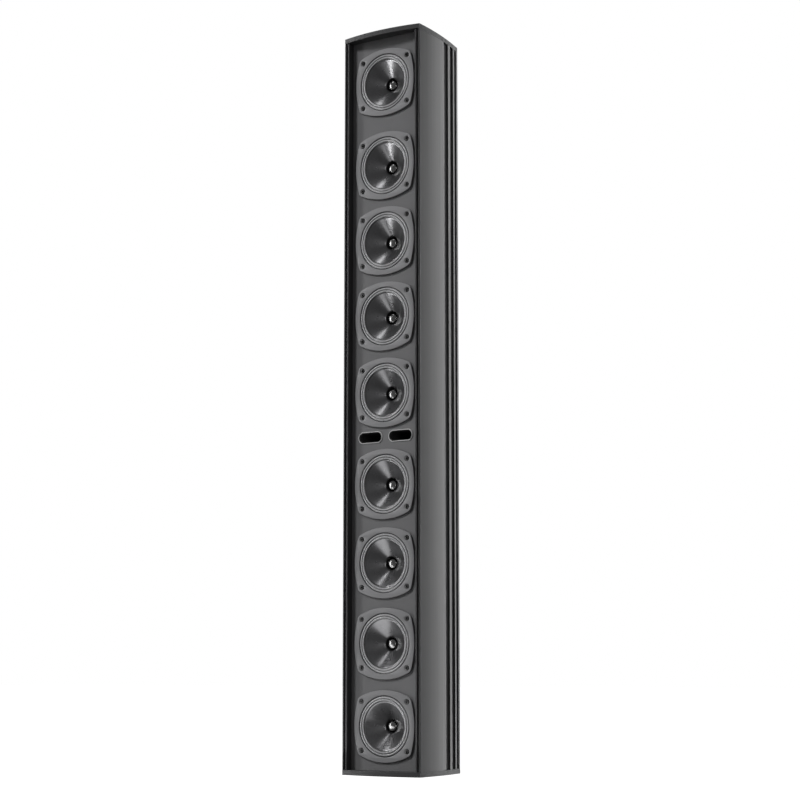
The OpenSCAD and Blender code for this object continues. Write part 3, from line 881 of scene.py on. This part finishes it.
def build_drivers(mats):
    """One set of meshes, copied to each of the nine places."""
    frames = frame_meshes()
    one = Matrix.Identity(4)
    frame_mesh = joined([(m, one) for m in frames], "driver_frame")
    cone = lathe_mesh(cone_profile(), 192)
    surround = mark_crests(lathe_mesh(surround_profile(), 192))
    plug = lathe_mesh(plug_profile(), 64, closed=False)
    spider = lathe_mesh(spider_profile(), 96)
    former, winding = coil_meshes()
    head = [(1.7, 3.5), (2.9, 3.5), (3.2, 3.42), (3.4, 3.2), (3.4, 1.72)]
    shank = [(1.95, 1.72), (1.95, -4.6), (1.5, -5.0)]
    screw = screw_mesh(head + shank, 1.7, 1.2)
    spots = [Matrix.Translation((x * MM, z * MM, 0)) for x, z in driver_screws()]
    screws = joined([(screw, spot) for spot in spots], "four_screws")
    for i in NUMBERS:

        def fit(name, mesh, mat, body, node, sharp=38):
            piece = to_object(f"{name}_{i}", mesh.copy(), mats[mat], body, [node], sharp)
            return face_front(piece, DRIVER_Z[i])

        coil = f"voice_coil_{i}"
        fit("driver_frame", frame_mesh, "frame", CABINET, f"basket_{i}")
        fit("cone_body", cone, "cone", moving(i), f"cone_{i}", 60)
        fit("phase_plug", plug, "plug", CABINET, "phase_plugs", 60)
        fit("coil_former", former, "former", moving(i), coil)
        fit("coil_winding", winding, "copper", moving(i), coil, 180)
        fit("frame_screws", screws, "screw", CABINET, "driver_screws")
        ring = fit("rubber_surround", surround, "rubber", None, f"surround_{i}", 70)
        flex(ring, i, CONE_R, SEAT_R - 1.1)
        disc = fit("cloth_spider", spider, "spider", None, "spiders", 80)
        flex(disc, i, COIL_R + 0.4, SPIDER_R - 0.3)


# ---------------------------------------------------------------- ports

PORT_W, PORT_H, PORT_DEPTH = 43, 17.4, 64


def obround_lathe(profile, width, height, count=24):
    """Sweeps (offset, depth) points round an obround: offset 0 is the obround of that width and height."""
    bm = bmesh.new()
    rings = []
    for offset, z in profile:
        points = obround(width + 2 * offset, height + 2 * offset, count)
        rings.append([bm.verts.new((x * MM, y * MM, z * MM)) for x, y in points])
    rings.append(rings[0])
    size = len(rings[0])
    for a, b in zip(rings, rings[1:]):
        for k in range(size):
            j = (k + 1) % size
            bm.faces.new((a[k], a[j], b[j], b[k]))
    return bmesh_to_mesh(bm, "port")


def build_ports(mats):
    """A flared duct and a raised pale rim for each port."""
    rim = [(-0.02, 0.1)] + arc(-0.6, 0.8, 0.58, 0, 180, 8) + [(-1.3, 0.1)]
    profile = [(-1.25, 0.9), (-1.9, 0.2), (-2.3, -0.6), (-2.5, -1.8)]
    profile += [(-2.5, -PORT_DEPTH), (-1.1, -PORT_DEPTH), (-1.1, 0)]
    for side in ("left", "right"):
        at = mid(f"port_{side}")
        for name, points, mat in (("duct", profile, mats["port"]), ("rim", rim, mats["port_rim"])):
            mesh = obround_lathe(points, PORT_W, PORT_H)
            obj = to_object(f"port_{name}_{side}", mesh, mat, CABINET, [f"port_{side}"], 50)
            face_front(obj, at.z, at.x)


# ---------------------------------------------------------------- rear panel and connectors

def build_rear(mats):
    """The rear cover, the plate in its recess and the two sockets."""
    middle = HEIGHT / 2 / MM
    half_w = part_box("rear_panel")[1].x / MM
    half_h = middle - CAP_T / MM
    recess = mid("input_plate").z / MM
    low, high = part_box("bracket_inserts")
    bracket_x = high.x / MM - INSERT_R
    lowest, highest = low.z / MM + INSERT_R, high.z / MM - INSERT_R
    bracket_zs = (lowest, lowest + BRACKET_PITCH, highest - BRACKET_PITCH, highest)
    plate_screws = [(s * (RECESS_HALF_W + 4), j * (RECESS_HALF_H - 6)) for s in (1, -1) for j in (-1, 0, 1)]
    window = box_outline(-RECESS_HALF_W, recess - RECESS_HALF_H, RECESS_HALF_W, recess + RECESS_HALF_H)
    holes = [circle(INSERT_R + 0.1, 32, (s * bracket_x, z)) for s in (1, -1) for z in bracket_zs]
    screw_x = half_w - REAR_SCREW_INSET
    holes += [circle(HEAD_HOLE_R, 24, (s * screw_x, z)) for s in (1, -1) for z in REAR_SCREW_ZS]
    holes += [circle(HEAD_HOLE_R, 24, (x, recess + z)) for x, z in plate_screws]
    loops = [box_outline(-half_w, middle - half_h, half_w, middle + half_h), rounded(window, 2)] + holes
    loops = [[(x, z - middle) for x, z in loop] for loop in loops]
    mesh = plate_mesh(loops, -WALL_T, -0.02, 0.12)
    cover = to_object("rear_cover", mesh, mats["rear"], CABINET, ["rear_panel"])
    crisp(face_back(cover, HEIGHT / 2))

    low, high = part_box("input_plate")
    half = ((high.x - low.x) / 2 / MM, (high.z - low.z) / 2 / MM)
    loops = [rounded(box_outline(-half[0], -half[1], half[0], half[1]), 3)]
    loops += [circle(12.3, 64, (0, z)) for z in SOCKET_ZS]
    loops += [circle(2.0, 16, spot) for spot in plate_screws]
    mesh = plate_mesh(loops, -WALL_T - 2, -WALL_T, 0.25)
    plate = to_object("socket_plate", mesh, mats["plate"], CABINET, ["input_plate"])
    crisp(face_back(plate, recess * MM))

    parts = socket_meshes()
    for k, z in enumerate(SOCKET_ZS):
        for name, mesh, mat in parts:
            obj = to_object(f"socket_{name}_{k + 1}", mesh.copy(), mats[mat], CABINET,
                            ["speaker_connectors"], 50)
            face_back(obj, (recess + z) * MM)


def socket_meshes():
    """A round locking cable socket: flange, barrel, contacts at the bottom and two screws."""
    bore, barrel, floor_z = 10.55, 12.15, -17.5
    square = rounded(box_outline(-13, -15.5, 13, 15.5), 3)
    flange = plate_mesh([square, circle(bore + 0.15, 64)], -WALL_T, -1.5, 0.35)
    cup = [(bore, -1.3), (bore + 0.3, -0.9), (barrel - 0.4, -0.9), (barrel, -1.3), (barrel, -21.2)]
    cup += [(barrel - 0.5, -21.5), (0.0, -21.5), (0.0, floor_z), (bore - 0.4, floor_z), (bore, floor_z + 0.4)]
    grooves = [
        (plate_mesh([rounded(box_outline(-0.7, -2.2, 0.7, 2.2), 0.5)], floor_z, floor_z + 0.35, 0.1),
         Matrix.Rotation(math.radians(45 + 90 * k), 4, "Z") @ Matrix.Translation((7.2 * MM, 0, 0)))
        for k in range(4)
    ]
    head = [(1.1, -1.0), (1.7, -1.0), (2.0, -1.1), (2.1, -1.5), (1.0, -1.5), (1.0, -3.4)]
    screw = screw_mesh(head, 1.1, 0.6, 24)
    screws = [(screw, Matrix.Translation((s * 10 * MM, s * 12.4 * MM, 0))) for s in (1, -1)]
    return [
        ("flange", flange, "socket"),
        ("barrel", lathe_mesh(cup, 96), "socket"),
        ("contacts", joined(grooves, "contacts"), "brass"),
        ("screws", joined(screws, "socket_screws"), "steel"),
    ]


# ---------------------------------------------------------------- filter parts, lining and wiring

def build_filter(mats):
    """Two air-cored coils, four capacitors and two cement resistors on the board."""
    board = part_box("filter_board")
    face = board[0].y
    centre = mid("input_plate").z
    turns, coil_r, core_r, coil_h = 11, 14.2, 6.2, 12
    spool = [(core_r, 0.0), (15, 0.0), (15, 0.9), (coil_r, 0.9)]
    pitch = (coil_h - 1.8) / turns
    for k in range(turns):
        spool += arc(coil_r, 0.9 + pitch * (k + 0.5), pitch / 2, -90, 90, 4)
    spool += [(coil_r, coil_h - 0.9), (15, coil_h - 0.9), (15, coil_h), (core_r, coil_h)]
    coil = lathe_mesh(spool, 64)
    can = [(0.0, -10), (4.9, -10), (5.6, -9.6), (5.88, -8.8), (5.88, 8.8), (5.6, 9.6), (4.9, 10), (0.0, 10)]
    capacitor = lathe_mesh(can, 40, closed=False)
    resistor = plate_mesh([rounded(box_outline(-11, -3, 11, 3), 0.6)], 0.1, 8, 0.4)

    def fix(name, mesh, mat, x, y, z, turn):
        obj = to_object(name, mesh.copy(), mats[mat], CABINET, ["filter_components"], 60)
        obj.location = (x * MM, y, centre + z * MM)
        obj.rotation_euler = turn

    out = (math.pi / 2, 0, 0)
    for k, z in enumerate((-26, 26)):
        fix(f"filter_coil_{k + 1}", coil, "copper", -10, face, z, out)
    for k, z in enumerate((-33, -11, 11, 33)):
        fix(f"filter_capacitor_{k + 1}", capacitor, "capacitor", 18, face - 6 * MM, z, (0, math.pi / 2, 0))
    for k, z in enumerate((-4, 4)):
        fix(f"filter_resistor_{k + 1}", resistor, "cement", -9, face, z, out)


def build_foam(mats):
    """Convoluted lining: peaks and valleys towards the drivers, a flat back against the panel."""
    low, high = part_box("damping_foam")
    wave, base, step = 26 * MM, 8 * MM, 2.6 * MM
    crest = high.y - low.y - base
    across = round((high.x - low.x) / step)
    up = round((high.z - low.z) / step)
    random.seed(4)
    bm = bmesh.new()

    def sheet_of(depth_at):
        rows = []
        for j in range(up + 1):
            z = low.z + (high.z - low.z) * j / up
            rows.append([])
            for i in range(across + 1):
                x = low.x + (high.x - low.x) * i / across
                rows[-1].append(bm.verts.new((x, depth_at(x, z), z)))
        return rows

    def front(x, z):
        edge = min(x - low.x, high.x - x, z - low.z, high.z - z) / (2 * step)
        lift = 0.5 + 0.5 * math.sin(TURN * x / wave) * math.sin(TURN * (z - low.z) / wave)
        lift = lift * (0.93 + 0.07 * random.random()) * (0.75 + 0.25 * min(1, edge))
        return high.y - base - crest * lift

    faces = [sheet_of(front), sheet_of(lambda x, z: high.y)]
    for rows in faces:
        for a, b in zip(rows, rows[1:]):
            for i in range(across):
                bm.faces.new((a[i], a[i + 1], b[i + 1], b[i]))
    rims = []
    for rows in faces:
        rims.append(rows[0] + [r[-1] for r in rows[1:]] + rows[-1][-2::-1] + [r[0] for r in rows[-2:0:-1]])
    for k in range(len(rims[0])):
        j = (k + 1) % len(rims[0])
        bm.faces.new((rims[0][k], rims[0][j], rims[1][j], rims[1][k]))
    mesh = bmesh_to_mesh(bm, "foam")
    foam = to_object("egg_crate_foam", mesh, mats["foam"], CABINET, ["damping_foam"])


def wire_mesh(path, radius, sides=6):
    """A round wire swept along points."""
    bm = bmesh.new()
    rings = []
    for k, p in enumerate(path):
        along = path[min(len(path) - 1, k + 1)] - path[max(0, k - 1)]
        turn = along.to_track_quat("Z", "Y")
        rings.append([bm.verts.new(p + turn @ Vector((x, y, 0))) for x, y in circle(radius, sides)])
    for a, b in zip(rings, rings[1:]):
        for q in range(sides):
            bm.faces.new((a[q], a[(q + 1) % sides], b[(q + 1) % sides], b[q]))
    bm.faces.new(rings[0])
    bm.faces.new(rings[-1])
    return bmesh_to_mesh(bm, "wire")


def wound(points, offset, pitch, phase):
    """The path of one wire of a twisted pair that follows straight runs between points."""
    made = []
    gone = 0.0
    for a, b in zip(points, points[1:]):
        length = (b - a).length
        turn = (b - a).to_track_quat("Z", "X")
        steps = max(2, round(length / pitch * 8))
        for k in range(steps):
            angle = TURN * (gone + length * k / steps) / pitch + phase
            made.append(a.lerp(b, k / steps) + turn @ Vector((math.cos(angle), math.sin(angle), 0)) * offset)
        gone += length
    return made


def build_wiring(mats):
    """A twisted trunk up the left side, with a thinner twisted branch to each driver."""
    low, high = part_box("wiring_harness")
    trunk_r, branch_r, corner = 2 * MM, 1.2 * MM, 2 * MM
    trunk_x = low.x + trunk_r
    trunk_y = high.y - trunk_r
    front = low.y + branch_r
    bottom, top = DRIVER_Z[9], DRIVER_Z[1]
    start = Vector((trunk_x + 20 * MM, trunk_y, mid("input_plate").z + 12 * MM))

    def up(z):
        return Vector((trunk_x, trunk_y, z))

    joins = up(start.z - 10 * MM)
    runs = [([start, joins, up(top)], trunk_r), ([up(bottom), joins], trunk_r)]
    for i in NUMBERS:
        z = DRIVER_Z[i]
        runs.append(([
            up(z),
            Vector((trunk_x, front + corner, z)),
            Vector((trunk_x + corner, front, z)),
            Vector((-BOWL_FLOOR_R - 0.3 * MM, front, z)),
        ], branch_r))
    for name, phase, mat in (("red", 0, "wire_red"), ("black", math.pi, "wire_black")):
        wires = []
        for points, r in runs:
            path = wound(points, r * 0.48, r * 9, phase)
            wires.append((wire_mesh(path, r * 0.46), Matrix.Identity(4)))
        loom = joined(wires, "loom")
        to_object(f"loom_{name}_wire", loom, mats[mat], CABINET, ["wiring_harness"], 60)


# ---------------------------------------------------------------- CAD nodes that stay, with their finishes

def dress(names, mat):
    """Gives CAD nodes their finish. Their shapes and places stay as they are."""
    for name in names:
        data = frame["nodes"][name].data
        for k in range(len(data.materials)):
            data.materials[k] = mat


def materials():
    """Every finish by name: its own name, its grey level and its roughness come first."""
    return {
        "profile": anodised("satin_profile", 0.05),
        "caps": powder_coat("cap_paint", 0.05, 0.42, specular=0.25),
        "baffle": powder_coat("baffle_paint", 0.102, 0.55),
        "frame": powder_coat("frame_paint", 0.182, 0.45, grain=1100, depth=0.05),
        "rear": powder_coat("rear_paint", 0.05, 0.48),
        "cone": cone_gloss(),
        "rubber": rubber(),
        "plug": metal("plug_metal", 0.34, 0.24, grain=200, depth=0.0005),
        "steel": metal("zinc_steel", 0.5, 0.32),
        "copper": metal("copper_wire", 0.6, 0.3, (1, 0.5, 0.25)),
        "former": plastic("black_former", 0.01, 0.5),
        "magnet": plastic("ferrite", 0.05, 0.6),
        "spider": cloth("spider_cloth", (0.6, 0.4, 0.18)),
        "screw": metal("black_oxide", 0.07, 0.35),
        "port": plastic("port_plastic", 0.03, 0.3),
        "plate": powder_coat("plate_paint", 0.02, 0.55),
        "socket": plastic("socket_plastic", 0.012, 0.3),
        "board": plastic("solder_mask", 0.12, 0.35, (0.2, 1, 0.5)),
        "foam": open_foam(),
        "port_rim": plastic("port_rim", 0.55, 0.3),
        "brass": metal("brass_contacts", 0.6, 0.25, (1, 0.75, 0.35)),
        "capacitor": plastic("capacitor_sleeve", 0.4, 0.4, (1, 0.72, 0.1)),
        "cement": plastic("resistor_cement", 0.6, 0.8, (1, 0.98, 0.92), 500, 0.06),
        "wire_red": plastic("red_wire", 0.3, 0.4, (1, 0.08, 0.06)),
        "wire_black": plastic("black_wire", 0.02, 0.4),
    }


camera()
world()
lights()
floor()
mats = materials()
build_cabinet(mats)
build_baffle(mats)
build_drivers(mats)
build_ports(mats)
build_rear(mats)
build_filter(mats)
build_foam(mats)
build_wiring(mats)
dress(["pole_yokes", "top_plates", "bracket_inserts"], mats["steel"])
dress(["magnets"], mats["magnet"])
dress(["cap_screws", "rear_screws"], mats["screw"])
dress(["filter_board"], mats["board"])

bpy.context.scene.view_settings.view_transform = "Standard"
